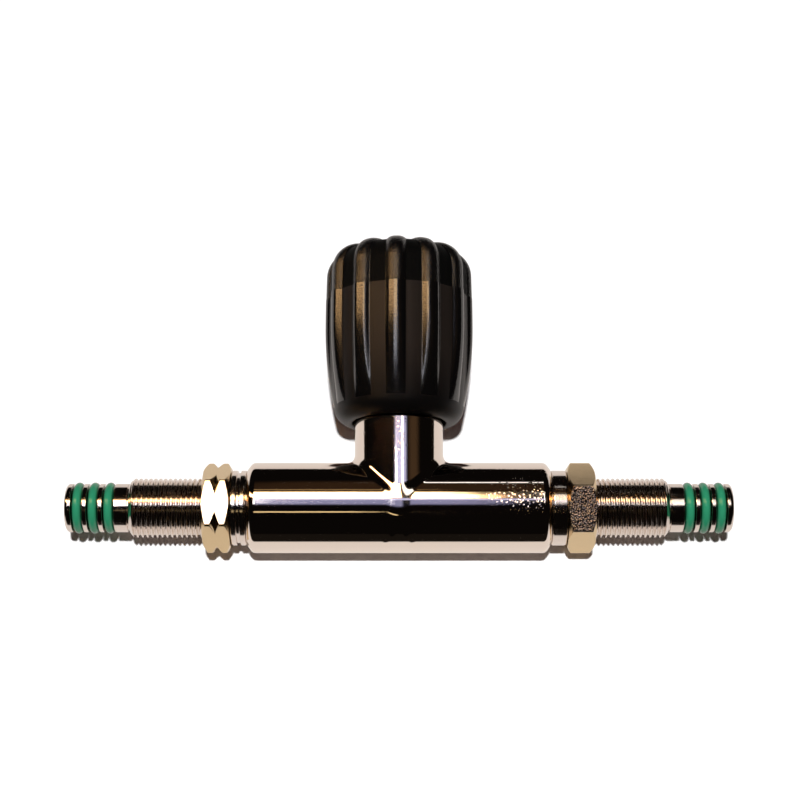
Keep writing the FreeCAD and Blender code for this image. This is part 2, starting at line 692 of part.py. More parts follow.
def knob_nut():
    """Hexagon nut on the stem's threaded end."""
    body = new_body("knob_nut")
    sketch = new_sketch(body, "XZ_Plane", f"-{SPRING_TOP}")
    hexagon(sketch, "(size.knob_nut_flats / 2 / cos(30 deg))")
    circle(sketch, "0", "0", "size.stud_radius")
    extruded(body, sketch, "size.knob_nut_height", "Pad", reverse=True)
    return body


pieces = [
    valve_body(),
    connector("left_connector", -1, grooved_collar=True),
    connector("right_connector", 1, grooved_collar=False),
    lock_nut("left_lock_nut", -1, "size.left_nut_turn", notched=True),
    lock_nut("right_lock_nut", 1, "size.right_nut_turn", notched=False),
    bonnet(),
    ring("bonnet_seal", "y", BONNET_RING, f"{MOUTH} - size.bonnet_ring_section", "size.bonnet_ring_section"),
    washer("thrust_washer", WASHER_BOTTOM, "size.washer_thickness", WASHER,
           "size.stem_radius + size.running_clearance"),
    stem(),
    seat_carrier(),
    seat_disc(),
    knob_hub(),
    knob_grip(),
    washer("spring_washer", WEB_TOP, "size.spring_washer_thickness",
           "size.recess_radius - size.spring_washer_play", "size.stud_radius"),
    knob_spring(),
    knob_nut(),
]
pieces += connector_rings("left", -1)
pieces += connector_rings("right", 1)
for name, level in (("lower", STEM_RING_LOW), ("upper", STEM_RING_HIGH)):
    pieces.append(ring(f"stem_seal_{name}", "y", level, "size.stem_radius - size.stem_ring_section",
                       "size.stem_ring_section"))
doc.recompute()

for entry in doc.Objects:
    if "Invalid" in entry.State or "Error" in entry.State:
        raise RuntimeError(f"{entry.Name} has failed: {entry.State}")
    cut = entry.TypeId in ("PartDesign::Groove", "PartDesign::Pocket")
    if cut and entry.BaseFeature.Shape.Volume - entry.Shape.Volume < 0.01:
        raise RuntimeError(f"{entry.Name} cuts nothing")
for piece in pieces:
    if piece.Shape.isNull() or not piece.Shape.isValid() or piece.Shape.Volume <= 0:
        raise RuntimeError(f"{piece.Label} has no valid shape")

os.makedirs("parts", exist_ok=True)
for piece in pieces:
    piece.Shape.exportStep(f"parts/{piece.Label}.step")
    box = piece.Shape.BoundBox
    print(f"{piece.Label:24s} {len(piece.Shape.Solids)} solid, {piece.Shape.Volume:9.1f} mm3, "
          f"x {box.XMin:.2f} to {box.XMax:.2f}, y {box.YMin:.2f} to {box.YMax:.2f}, "
          f"z {box.ZMin:.2f} to {box.ZMax:.2f}")
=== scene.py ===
import math
import bmesh
import bpy
import numpy as np
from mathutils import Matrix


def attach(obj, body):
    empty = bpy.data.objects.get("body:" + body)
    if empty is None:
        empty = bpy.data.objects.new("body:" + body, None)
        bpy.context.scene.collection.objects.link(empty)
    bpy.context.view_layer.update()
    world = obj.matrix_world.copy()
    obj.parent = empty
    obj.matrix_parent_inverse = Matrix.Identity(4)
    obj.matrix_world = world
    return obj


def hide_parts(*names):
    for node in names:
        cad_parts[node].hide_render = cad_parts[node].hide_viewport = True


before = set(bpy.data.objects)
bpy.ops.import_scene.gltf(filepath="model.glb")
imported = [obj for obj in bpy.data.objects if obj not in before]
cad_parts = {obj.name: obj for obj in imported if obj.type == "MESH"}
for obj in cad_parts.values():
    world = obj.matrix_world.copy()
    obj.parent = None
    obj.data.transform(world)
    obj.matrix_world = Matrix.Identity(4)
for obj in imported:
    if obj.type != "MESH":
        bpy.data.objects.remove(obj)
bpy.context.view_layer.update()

# Isolator valve, lying on its back on a sheet of paper: bar along X, stem and knob along +Y, +Z up.
# Sizes are in millimetres until a mesh is made, and named angles are in degrees.
MM = 0.001

# Body: the bar reaches BAR_HALF to both sides, and the neck stands on it with its mouth at NECK_TOP
BAR_RADIUS = 13.8
BAR_HALF = 46.3
BAR_CHAMFER = (1.8, 2.2)
NECK_RADIUS = 13.6
NECK_TOP = 36.0
NECK_CHAMFER = 0.8
NECK_SKIN_TOP = 34.5
NECK_FADE = 0.05
NECK_BLEND = 2.5
CORNER_BLEND = 2.9
FRONT_BLEND = 0.7
SADDLE_HALF = 24.0
SPIGOT_RADIUS = 8.0
SPIGOT_LENGTH = 14.0
BORE_RADIUS = 3.5
BODY_BORE_RADIUS = 3.0
CHAMBER_RADIUS = 8.08
CHAMBER_WALL = 2.0
CHAMBER_FLOOR = 8.5
CHAMBER_TOP = 27.0
MOUTH_RADIUS = 10.6

# Connectors. ROOT_FLAT and CREST_FLAT are shares of half a pitch of the thread, and FLANK_CURVE is how far
# its flanks bend, from straight at 0 to a smooth step at 1
COLLAR_RADIUS = 11.45
COLLAR_LENGTH = 4.6
COLLAR_GROOVE_HALF = 0.55
COLLAR_GROOVE_DEPTH = 0.7
THREAD_RADIUS = 9.0
THREAD_PITCH = 1.5
THREAD_DEPTH = 0.75
THREAD_LENGTH = 30.9
THREAD_LEAD = 1.1
ROOT_FLAT = 0.12
CREST_FLAT = 0.22
FLANK_CURVE = 0.35
RELIEF_RADIUS = 6.9
RELIEF_WIDTH = 0.6
BARREL_RADIUS = 7.4
BARREL_LENGTH = 18.9
BARREL_CHAMFER = 0.7
BORE_CHAMFER = 0.4
RING_PITCH = 4.75
RING_END = 3.7
GROOVE_HALF = 1.7
GROOVE_RADIUS = 5.2

# Lock nuts. The cone that trims the corners starts on the face at the radius NUT_FACE, just inside the
# flats, and reaches NUT_EDGE along X at the corners
NUT_FLATS = 24.0
NUT_START = 51.1
NUT_LENGTH = 8.3
NUT_EDGE = 1.3
NUT_FACE = 11.9
NUT_NOTCH = 1.6
NUT_BORE = 9.06
NUT_LEAD = 0.6
LEFT_NUT_TURN = -2.4
RIGHT_NUT_TURN = -11.5

# Knob. Its levels lie along Y, and KNOB_TURN is where the middle of one rib stands, from +Z towards +X
KNOB_FOOT = 26.42
FOOT_INSET = 4.4
LIP_RADIUS = 14.4
LIP_TOP = 28.92
HUB_RADIUS = 17.6
HUB_TOP = 76.12
HUB_CHAMFER = 2.0
RECESS_WALL = 10.3
RIM_LEVEL = 30.02
RIM_RADIUS = 19.9
RIM_ROUND = 4.6
WIDE_LEVEL = 57.52
WIDE_RADIUS = 23.15
FLANK_TOP = 73.82
FLANK_ROUND = 600.0
CROWN_ROUND = 9.0
CREST_DIP = 0.75
VALLEY_DIP = 0.2
RIB_COUNT = 12
RIB_PITCH = 360 / RIB_COUNT
RIB_HEIGHT = 1.6
RIB_ROUND = 3.6
RIB_FOOT = 0.12
RIB_HALF = 3.0
KNOB_TURN = 27.25
STEP_LEVEL = 66.3
STEP_DEPTH = 0.1
STEP_RISE = 0.25
STEP_FADE = 4.0


def soften(corners, radius, closed=True):
    """Rounds the corners of one profile, or of a stack of them (..., corners, 2). Each corner becomes a
    quadratic curve between two points, radius before and after it, and a point beyond either end keeps the
    shading of the long straight pieces level."""
    corners = np.asarray(corners, float)
    before = np.roll(corners, 1, axis=-2) - corners
    after = np.roll(corners, -1, axis=-2) - corners
    reach_before = np.linalg.norm(before, axis=-1, keepdims=True)
    reach_after = np.linalg.norm(after, axis=-1, keepdims=True)
    radius = np.broadcast_to(np.asarray(radius, float), corners.shape[:-1])[..., None]
    cut = np.minimum(radius, 0.3 * np.minimum(reach_before, reach_after))
    before = before / np.maximum(reach_before, 1e-9)
    after = after / np.maximum(reach_after, 1e-9)
    parts = [corners + 1.4 * cut * before]
    for t in (0.0, 0.33, 0.67, 1.0):
        parts.append(corners + cut * ((1 - t) ** 2 * before + t**2 * after))
    parts.append(corners + 1.4 * cut * after)
    curve = np.stack(parts, axis=-2)
    curve = curve.reshape(curve.shape[:-3] + (-1, 2))
    if closed:
        return curve
    ends = corners[..., :1, :], corners[..., -1:, :]
    return np.concatenate([ends[0], curve[..., 6:-6, :], ends[1]], axis=-2)


def patch(points, round_columns=True, round_rows=False):
    """Points (rows, columns, 3) and the squares between neighbours, joined round where asked."""
    rows, columns = points.shape[:2]
    index = np.arange(rows * columns).reshape(rows, columns)
    if round_columns:
        index = np.concatenate([index, index[:, :1]], axis=1)
    if round_rows:
        index = np.concatenate([index, index[:1]], axis=0)
    quads = np.stack([index[:-1, :-1], index[:-1, 1:], index[1:, 1:], index[1:, :-1]], axis=-1)
    return points.reshape(-1, 3), quads.reshape(-1, 4)


def piece(name, body, material, patches, replaced=(), sharp=40.0):
    """One object from patches in millimetres, welded where they meet, with its faces outwards."""
    points, quads, offset = [], [], 0
    for corner, quad in patches:
        points.append(corner)
        quads.append(quad + offset)
        offset += len(corner)
    points = np.concatenate(points) * MM
    quads = np.concatenate(quads)
    mesh = bpy.data.meshes.new(name)
    mesh.vertices.add(len(points))
    mesh.vertices.foreach_set("co", points.ravel())
    mesh.loops.add(quads.size)
    mesh.loops.foreach_set("vertex_index", quads.ravel())
    mesh.polygons.add(len(quads))
    mesh.polygons.foreach_set("loop_start", np.arange(0, quads.size, 4))
    mesh.update(calc_edges=True)
    work = bmesh.new()
    work.from_mesh(mesh)
    bmesh.ops.remove_doubles(work, verts=work.verts, dist=2e-6)
    bmesh.ops.recalc_face_normals(work, faces=work.faces)
    work.to_mesh(mesh)
    work.free()
    mesh.shade_smooth()
    mesh.set_sharp_from_angle(angle=math.radians(sharp))
    mesh.materials.append(material)
    obj = bpy.data.objects.new(name, mesh)
    bpy.context.scene.collection.objects.link(obj)
    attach(obj, body)
    if replaced:
        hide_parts(*replaced)
    return obj


def around_bar(along, radius, angle):
    """Points at the place along X, at the radius and angle about it; angle 0 is +Y and 90 degrees is +Z."""
    along, radius, angle = np.broadcast_arrays(along, radius, angle)
    return np.stack([along, radius * np.cos(angle), radius * np.sin(angle)], axis=-1)


def around_stem(radius, level, angle):
    """Points at the level on Y, at the radius and angle about it; angle 0 is +Z and 90 degrees is +X."""
    radius, level, angle = np.broadcast_arrays(radius, level, angle)
    return np.stack([radius * np.sin(angle), level, radius * np.cos(angle)], axis=-1)


def turns(count):
    """Angles of a full circle, without the last, which is the first again."""
    return np.arange(count) * (2 * math.pi / count)


# Materials. A colour is the sRGB value that the finish shows in plain light.

def linear(code):
    """The linear colour of an sRGB hex code."""
    values = [int(code[place:place + 2], 16) / 255 for place in (1, 3, 5)]
    return [v / 12.92 if v <= 0.04045 else ((v + 0.055) / 1.055) ** 2.4 for v in values] + [1.0]


def add(tree, kind, settings=None, out=0, **inputs):
    """Adds a node with its settings and gives one of its outputs. An input is a value, a hex colour, or the
    socket that it is linked from; its name has _ for a space, or is _ and its number."""
    node = tree.nodes.new("ShaderNode" + kind)
    for key, value in (settings or {}).items():
        setattr(node, key, value)
    for key, value in inputs.items():
        socket = node.inputs[int(key[1:])] if key[1:].isdigit() else node.inputs[key.replace("_", " ")]
        if isinstance(value, bpy.types.NodeSocket):
            tree.links.new(value, socket)
        else:
            socket.default_value = linear(value) if isinstance(value, str) else value
    return node.outputs[out] if len(node.outputs) else node


def finish(name, colour, metallic=0.0, roughness=0.5, **inputs):
    """Makes a material of one Principled shader. Gives it, its tree, the shader's node and Object
    coordinates."""
    material = bpy.data.materials.new(name)
    material.use_nodes = True
    tree = material.node_tree
    tree.nodes.clear()
    surface = add(tree, "BsdfPrincipled", Base_Color=colour, Metallic=metallic, Roughness=roughness,
                  **inputs)
    add(tree, "OutputMaterial", Surface=surface)
    place = add(tree, "TexCoord", out="Object")
    return material, tree, surface.node, place


def raise_grain(tree, shader, place, size, depth, detail=2.0):
    """Gives the shader a relief of noise. The size and depth are in millimetres. Grain and tool marks are
    drawn 0.25 to 0.5 mm wide, coarser than they are, so that they show."""
    grain = add(tree, "TexNoise", Vector=place, Scale=1 / (size * MM), Detail=detail)
    tree.links.new(add(tree, "Bump", Height=grain, Distance=depth * MM), shader.inputs["Normal"])


SMOOTH_STEP = {"interpolation_type": "SMOOTHSTEP"}
WAVE_SIZE = 7.0
WAVE_DEPTH = 0.012
PIT_SIZE = 0.9
PIT_DEPTH = 0.04
PIT_EDGE = 0.4
PITS_BEGIN = 22.0
PITS_FULL = 38.0
PIT_BAND_MIDDLE = 3.0
PIT_BAND_HALF = 5.0
PIT_BAND_FADE = 3.0
NECK_PITS_BEGIN = 6.0
NECK_PITS_FULL = 16.0
NECK_PIT_SHARE = 0.22

# Bright nickel plate on polished brass: a warm mirror, with the faint waviness that hand polishing leaves.
# Fine pits break the highlight into sparks along the middle of the bar's right end, and weakly on the neck.
nickel_plate, tree, shader, place = finish("polished_nickel_plate", "#efe3d8", metallic=1.0, roughness=0.06)
axes = add(tree, "SeparateXYZ", Vector=place).node.outputs
wave = add(tree, "TexNoise", Vector=place, Scale=1 / (WAVE_SIZE * MM), Detail=1.0)
pits = add(tree, "TexVoronoi", out="Distance", Vector=place, Scale=1 / (PIT_SIZE * MM))
pits = add(tree, "MapRange", SMOOTH_STEP, Value=pits, From_Max=PIT_EDGE)
end = add(tree, "MapRange", SMOOTH_STEP, Value=axes["X"], From_Min=PITS_BEGIN * MM, From_Max=PITS_FULL * MM)
band = add(tree, "Math", {"operation": "SUBTRACT"}, _0=axes["Y"], _1=PIT_BAND_MIDDLE * MM)
band = add(tree, "Math", {"operation": "ABSOLUTE"}, _0=band)
band = add(tree, "MapRange", SMOOTH_STEP, Value=band, From_Min=PIT_BAND_HALF * MM,
           From_Max=(PIT_BAND_HALF + PIT_BAND_FADE) * MM, To_Min=1.0, To_Max=0.0)
end = add(tree, "Math", {"operation": "MULTIPLY"}, _0=end, _1=band)
neck = add(tree, "MapRange", SMOOTH_STEP, Value=axes["Y"], From_Min=NECK_PITS_BEGIN * MM,
           From_Max=NECK_PITS_FULL * MM, To_Max=NECK_PIT_SHARE)
worn = add(tree, "Math", {"operation": "MAXIMUM"}, _0=end, _1=neck)
pitted = add(tree, "Math", {"operation": "MULTIPLY"}, _0=pits, _1=worn)
relief = add(tree, "Bump", Height=wave, Distance=WAVE_DEPTH * MM)
relief = add(tree, "Bump", Height=pitted, Distance=PIT_DEPTH * MM, Normal=relief)
tree.links.new(relief, shader.inputs["Normal"])

# The same plate on turned parts: fine rings from the lathe tool, across the axis.
turned_plate, tree, shader, place = finish("turned_nickel_plate", "#e6dbd2", metallic=1.0, roughness=0.14)
lathe = add(tree, "Mapping", Vector=place, Scale=(1, 0.02, 0.02))
raise_grain(tree, shader, lathe, 0.3, 0.006, detail=3.0)

NUT_COLOUR = "#dcc49c"
NUT_ROUGHNESS = 0.16
GRIT_COLOUR = "#968c86"
GRIT_ROUGHNESS = 0.2
GRIT_SIZE = 0.5
GRIT_DEPTH = 0.15

# Nuts in plain nickel over a milled face, with a soft gloss. The right nut's front flat is blasted: its
# coarse grain breaks the light into sparks.
nut_nickel, tree, shader, place = finish("milled_nickel_nut", NUT_COLOUR, metallic=1.0,
                                         roughness=NUT_ROUGHNESS)
side = add(tree, "SeparateXYZ", out="X", Vector=place)
side = add(tree, "MapRange", Value=side, From_Max=1 * MM)
lean = math.radians(RIGHT_NUT_TURN)
front = add(tree, "VectorMath", {"operation": "DOT_PRODUCT"}, out="Value", _0=place,
            _1=(0, math.sin(lean), math.cos(lean)))
front = add(tree, "MapRange", Value=front, From_Min=(NUT_FLATS / 2 - 0.2) * MM,
            From_Max=(NUT_FLATS / 2 - 0.05) * MM)
blasted = add(tree, "Math", {"operation": "MULTIPLY"}, _0=side, _1=front)
tint = add(tree, "Mix", {"data_type": "RGBA"}, out=2, _0=blasted, _6=NUT_COLOUR, _7=GRIT_COLOUR)
tree.links.new(tint, shader.inputs["Base Color"])
rough = add(tree, "MapRange", Value=blasted, To_Min=NUT_ROUGHNESS, To_Max=GRIT_ROUGHNESS)
tree.links.new(rough, shader.inputs["Roughness"])
grit = add(tree, "TexVoronoi", out="Distance", Vector=place, Scale=1 / (GRIT_SIZE * MM))
grit = add(tree, "Math", {"operation": "MULTIPLY"}, _0=grit, _1=blasted)
grain = add(tree, "TexNoise", Vector=place, Scale=1 / (0.3 * MM))
relief = add(tree, "Bump", Height=grain, Distance=0.006 * MM)
relief = add(tree, "Bump", Height=grit, Distance=GRIT_DEPTH * MM, Normal=relief)
tree.links.new(relief, shader.inputs["Normal"])

# Nitrile rubber rings, moulded and lightly greased: full green with a soft gloss.
green_ring, tree, shader, place = finish("greased_green_nitrile", "#2d8a64", roughness=0.25)
raise_grain(tree, shader, place, 0.5, 0.01, detail=3.0)

RUBBER_BLACK = "#080707"
SATIN_BLACK = "#1c1714"
SATIN_RISE = 16.0

# Moulded black rubber. The ribs are rubbed glossy, with the mould's grain left above the step.
rib_rubber, tree, shader, place = finish("moulded_black_rubber", RUBBER_BLACK, roughness=0.2,
                                         Specular_IOR_Level=0.8)
level = add(tree, "SeparateXYZ", out="Y", Vector=place)
upper = add(tree, "MapRange", Value=level, From_Min=(STEP_LEVEL - 0.1) * MM,
            From_Max=(STEP_LEVEL + 0.1) * MM)
rough = add(tree, "MapRange", Value=upper, To_Min=0.17, To_Max=0.27)
share = add(tree, "MapRange", Value=upper, To_Min=0.2, To_Max=1.0)
grain = add(tree, "TexNoise", Vector=place, Scale=1 / (0.5 * MM))
grain = add(tree, "Math", {"operation": "MULTIPLY"}, _0=grain, _1=share)
tree.links.new(rough, shader.inputs["Roughness"])
tree.links.new(add(tree, "Bump", Height=grain, Distance=0.18 * MM), shader.inputs["Normal"])

# The same rubber between the ribs, where no hand reaches: satin from the smooth mould below the step, and
# darker towards the rim.
satin_rubber, tree, shader, place = finish("moulded_satin_rubber", SATIN_BLACK, roughness=0.4,
                                           Specular_IOR_Level=0.2)
level = add(tree, "SeparateXYZ", out="Y", Vector=place)
level = add(tree, "MapRange", Value=level, From_Min=RIM_LEVEL * MM, From_Max=(RIM_LEVEL + SATIN_RISE) * MM)
tint = add(tree, "Mix", {"data_type": "RGBA"}, out=2, _0=level, _6=RUBBER_BLACK, _7=SATIN_BLACK)
tree.links.new(tint, shader.inputs["Base Color"])
raise_grain(tree, shader, place, 0.4, 0.01)

# The same rubber between the ribs above the step: matt and nearly black from the etched mould.
matt_rubber, tree, shader, place = finish("moulded_matt_rubber", "#070707", roughness=0.6,
                                          Specular_IOR_Level=0.05)
raise_grain(tree, shader, place, 0.4, 0.03)

# Glass-filled nylon hub: hard, black and slightly duller than the rubber.
hub_nylon, tree, shader, place = finish("moulded_black_nylon", "#141415", roughness=0.42)
raise_grain(tree, shader, place, 0.25, 0.01)

# Plain brass, turned, of the stem and the seat carrier: fine rings round their own axis.
turned_brass, tree, shader, place = finish("turned_brass", "#d9b56a", metallic=1.0, roughness=0.22)
lathe = add(tree, "Mapping", Vector=place, Scale=(0.02, 1, 0.02))
raise_grain(tree, shader, lathe, 0.3, 0.006, detail=3.0)

# Zinc-plated steel of nut, washer and spring: cool grey with a dull shine.
zinc_steel, tree, shader, place = finish("zinc_plated_steel", "#c9ccd0", metallic=1.0, roughness=0.25)
raise_grain(tree, shader, place, 0.3, 0.006, detail=3.0)

# PTFE of the seat disc and the thrust washer: white and waxy.
white_ptfe, tree, shader, place = finish("skived_white_ptfe", "#e8e8e4", roughness=0.45)
raise_grain(tree, shader, place, 0.4, 0.01)

slot_finishes = {
    "chromed_brass": nickel_plate,
    "nut_nickel": nut_nickel,
    "brass": turned_brass,
    "steel": zinc_steel,
    "green_rubber": green_ring,
    "black_rubber": rib_rubber,
    "black_plastic": hub_nylon,
    "white_plastic": white_ptfe,
}


def forging(points):
    """How far points stand out of the bar and neck taken as one, and the direction out of it. Each of the
    two distances is the distance from the axis less the radius. The smaller of them counts, less a quarter
    of the blend width times the square of how nearly they are equal, which fills the joint. The blend is
    narrow at the front, where the two run side by side, and wide in the corner above the bar. Below the
    bar's axis the neck's distance grows with the square of the depth, so it leaves the underside plain."""
    x, y, z = np.moveaxis(points, -1, 0)
    from_bar = np.maximum(np.sqrt(y**2 + z**2), 1e-6)
    from_neck = np.maximum(np.sqrt(x**2 + z**2), 1e-6)
    to_bar = np.stack([0 * x, y / from_bar, z / from_bar], axis=-1)
    to_neck = np.stack([x / from_neck, 0 * y, z / from_neck], axis=-1)
    bar = from_bar - BAR_RADIUS
    neck = from_neck - NECK_RADIUS + NECK_FADE * np.minimum(y, 0) ** 2
    alike = z**2 / (from_bar * from_neck)
    width = FRONT_BLEND + (CORNER_BLEND - FRONT_BLEND) * (1 - alike)
    near = np.clip(1 - np.abs(bar - neck) / width, 0, None)
    height = np.minimum(bar, neck) - near**2 * width / 4
    share = np.where(bar < neck, 1 - near / 2, near / 2)[..., None]
    out = share * to_bar + (1 - share) * to_neck
    return height, out / np.maximum(np.linalg.norm(out, axis=-1, keepdims=True), 1e-6)


def valve_body():
    """Bar and neck in one skin. Rows run from an outline on the bar over the joint and up the neck, and each
    point then moves along its direction until it lies on the forging's surface. The saddle is the part of
    the bar's skin that carries the neck, two thirds of the way round."""
    count = 144
    step = 2 * math.pi / count
    wide = count // 3
    edge = wide * step

    # Outline of the saddle on the unrolled bar, in columns from +X round by +Z
    side = np.linspace(-edge, edge, 2 * wide + 1)[:-1]
    along = np.linspace(SADDLE_HALF, -SADDLE_HALF, wide + 1)[:-1]
    right_side = np.full(2 * wide, SADDLE_HALF)
    outline_x = np.concatenate([right_side, along, -right_side, -along])
    outline_turn = np.concatenate([side, np.full(wide, edge), -side, np.full(wide, -edge)])
    phi = np.arctan2(outline_turn / edge, outline_x / SADDLE_HALF)

    # The corner lies one blend width outside both, and the rows bend round it
    reach = NECK_RADIUS + NECK_BLEND
    centre_x = reach * np.cos(phi)
    centre_z = reach * np.sin(phi)
    centre_y = np.sqrt((BAR_RADIUS + NECK_BLEND) ** 2 - centre_z**2)
    centre = np.stack([centre_x, centre_y, centre_z], axis=-1)
    to_bar = np.stack([np.zeros_like(phi), -centre_y, -centre_z], axis=-1) / (BAR_RADIUS + NECK_BLEND)
    to_neck = np.stack([-centre_x, np.zeros_like(phi), -centre_z], axis=-1) / reach

    on_bar = centre + NECK_BLEND * to_bar
    turn_on_bar = np.arctan2(on_bar[:, 2], on_bar[:, 1])
    share = np.linspace(0, 1, 33)[:, None] ** 0.8
    x = outline_x + (on_bar[:, 0] - outline_x) * share
    turn = outline_turn + (turn_on_bar - outline_turn) * share
    saddle = around_bar(x, BAR_RADIUS, turn)

    # Between the two directions from the corner, each point turns by an even share of the angle
    opening = np.arccos(np.clip(np.sum(to_bar * to_neck, axis=-1), -1, 1))
    share = np.linspace(0, 1, 13)[1:, None]
    from_bar = (np.sin((1 - share) * opening) / np.sin(opening))[..., None]
    from_neck = (np.sin(share * opening) / np.sin(opening))[..., None]
    blend = centre + NECK_BLEND * (from_bar * to_bar + from_neck * to_neck)

    share = np.linspace(0, 1, 33)[1:, None] ** 1.3
    level = centre_y + (NECK_SKIN_TOP - centre_y) * share
    neck = around_stem(NECK_RADIUS, level, math.pi / 2 - phi)
    skin = np.concatenate([saddle, blend, neck])
    for _ in range(12):
        height, out = forging(skin)
        skin[1:-1] -= (height[..., None] * out)[1:-1]

    inside = soften([
        (NECK_RADIUS, NECK_SKIN_TOP), (NECK_RADIUS, NECK_TOP - NECK_CHAMFER),
        (NECK_RADIUS - NECK_CHAMFER, NECK_TOP), (MOUTH_RADIUS, NECK_TOP), (MOUTH_RADIUS, CHAMBER_TOP),
        (CHAMBER_RADIUS, CHAMBER_TOP), (CHAMBER_RADIUS, CHAMBER_FLOOR), (0, CHAMBER_FLOOR),
    ], 0.2, closed=False)[1:]
    throat = around_stem(inside[:, :1], inside[:, 1:], math.pi / 2 - phi)
    patches = [patch(np.concatenate([skin, throat]))]

    # The rest of the bar: a band along its underside between the saddle's ends, and both ends. The bores
    # stop short of the chamber, where nothing shows
    under = np.arange(count - 2 * wide + 1) * step + edge
    belly = np.linspace(SADDLE_HALF, -SADDLE_HALF, wide + 1)
    patches.append(patch(around_bar(belly[:, None], BAR_RADIUS, under), round_columns=False))
    angles = np.arange(count) * step - edge
    along, across = BAR_CHAMFER
    socket_floor = BAR_HALF - SPIGOT_LENGTH
    bore_end = CHAMBER_RADIUS + CHAMBER_WALL
    end = soften([
        (SADDLE_HALF, BAR_RADIUS), (BAR_HALF - along, BAR_RADIUS), (BAR_HALF, BAR_RADIUS - across),
        (BAR_HALF, SPIGOT_RADIUS), (socket_floor, SPIGOT_RADIUS), (socket_floor, BODY_BORE_RADIUS),
        (bore_end, BODY_BORE_RADIUS), (bore_end, 0),
    ], [0, 1.2, 0.8, 0.2, 0.2, 0.2, 0.2, 0], closed=False)
    for side in (1, -1):
        patches.append(patch(around_bar(side * end[:, :1], end[:, 1:], angles)))
    body = piece("body_skin", "housing", nickel_plate, patches, ["valve_body"])

    # The skin shines along the forging's own directions, so no seam of the grid shows in its reflections.
    # Near its ends a direction of zero keeps the mesh's own
    mesh = body.data
    points = np.empty(3 * len(mesh.vertices))
    mesh.vertices.foreach_get("co", points)
    points = points.reshape(-1, 3) / MM
    height, out = forging(points)
    on_skin = np.abs(height) < 0.02
    on_skin &= np.abs(points[:, 0]) < BAR_HALF - 3.5
    on_skin &= points[:, 1] < NECK_SKIN_TOP - 0.1
    mesh.normals_split_custom_set_from_vertices((out * on_skin[:, None]).tolist())


def connector(name, side, grooved):
    """Spigot, collar, threaded middle and grooved barrel, one closed profile carried round the bar's axis.
    In the threaded part the radius is a rounded saw-tooth of the place along X over the pitch, less the
    angle over a full turn. One side is the mirror image of the other, so its thread has the other hand."""
    start = BAR_HALF
    collar_end = start + COLLAR_LENGTH
    thread_end = collar_end + THREAD_LENGTH
    relief_end = thread_end + RELIEF_WIDTH
    end = relief_end + BARREL_LENGTH
    corners = [
        (start - SPIGOT_LENGTH, BORE_RADIUS), (start - SPIGOT_LENGTH, SPIGOT_RADIUS),
        (start, SPIGOT_RADIUS), (start, COLLAR_RADIUS),
    ]
    rounding = [0.3, 0.3, 0.1, 0.45]
    if grooved:
        near = start + COLLAR_LENGTH / 2 - COLLAR_GROOVE_HALF
        far = start + COLLAR_LENGTH / 2 + COLLAR_GROOVE_HALF
        floor = COLLAR_RADIUS - COLLAR_GROOVE_DEPTH
        corners += [(near, COLLAR_RADIUS), (near, floor), (far, floor), (far, COLLAR_RADIUS)]
        rounding += [0.4, 0.2, 0.2, 0.4]
    corners += [(collar_end, COLLAR_RADIUS), (collar_end, THREAD_RADIUS - THREAD_DEPTH)]
    rounding += [0.45, 0.1]
    # The thread takes the place of the last corner's six points
    inner = soften(corners, rounding)[:-6]

    outer = [(thread_end, RELIEF_RADIUS), (relief_end, RELIEF_RADIUS), (relief_end, BARREL_RADIUS)]
    rounding = [0.15, 0.15, 0.2]
    for index in (2, 1, 0):
        near = end - RING_END - index * RING_PITCH - GROOVE_HALF
        far = end - RING_END - index * RING_PITCH + GROOVE_HALF
        outer += [(near, BARREL_RADIUS), (near, GROOVE_RADIUS), (far, GROOVE_RADIUS), (far, BARREL_RADIUS)]
        rounding += [0.18, 0.2, 0.2, 0.18]
    outer += [(end - BARREL_CHAMFER, BARREL_RADIUS), (end, BARREL_RADIUS - BARREL_CHAMFER),
              (end, BORE_RADIUS + BORE_CHAMFER), (end - BORE_CHAMFER, BORE_RADIUS)]
    rounding += [0.3, 0.3, 0.2, 0.2]
    outer = soften(outer, rounding)

    angles = turns(144)
    along = np.arange(collar_end + 0.4, thread_end, THREAD_PITCH / 20)
    phase = (along[:, None] - thread_end) / THREAD_PITCH - angles / (2 * math.pi)
    tooth = np.abs(2 * (phase - np.floor(phase)) - 1)
    tooth = np.clip((tooth - ROOT_FLAT) / (1 - ROOT_FLAT - CREST_FLAT), 0, 1)
    tooth += FLANK_CURVE * (tooth**2 * (3 - 2 * tooth) - tooth)
    radius = THREAD_RADIUS - THREAD_DEPTH * (1 - tooth)
    # The thread begins with a cone at the relief and runs out on a flatter one before the collar
    lead = THREAD_RADIUS - THREAD_LEAD + (thread_end - along)
    run_out = THREAD_RADIUS - THREAD_DEPTH + (along - collar_end) / 2
    radius = np.minimum(radius, np.minimum(lead, run_out)[:, None])

    points = np.concatenate([
        around_bar(side * inner[:, :1], inner[:, 1:], angles),
        around_bar(side * along[:, None], radius, angles),
        around_bar(side * outer[:, :1], outer[:, 1:], angles),
    ])
    piece(name, "housing", turned_plate, [patch(points, round_rows=True)],
          [name.replace("_turned", "")], sharp=50.0)


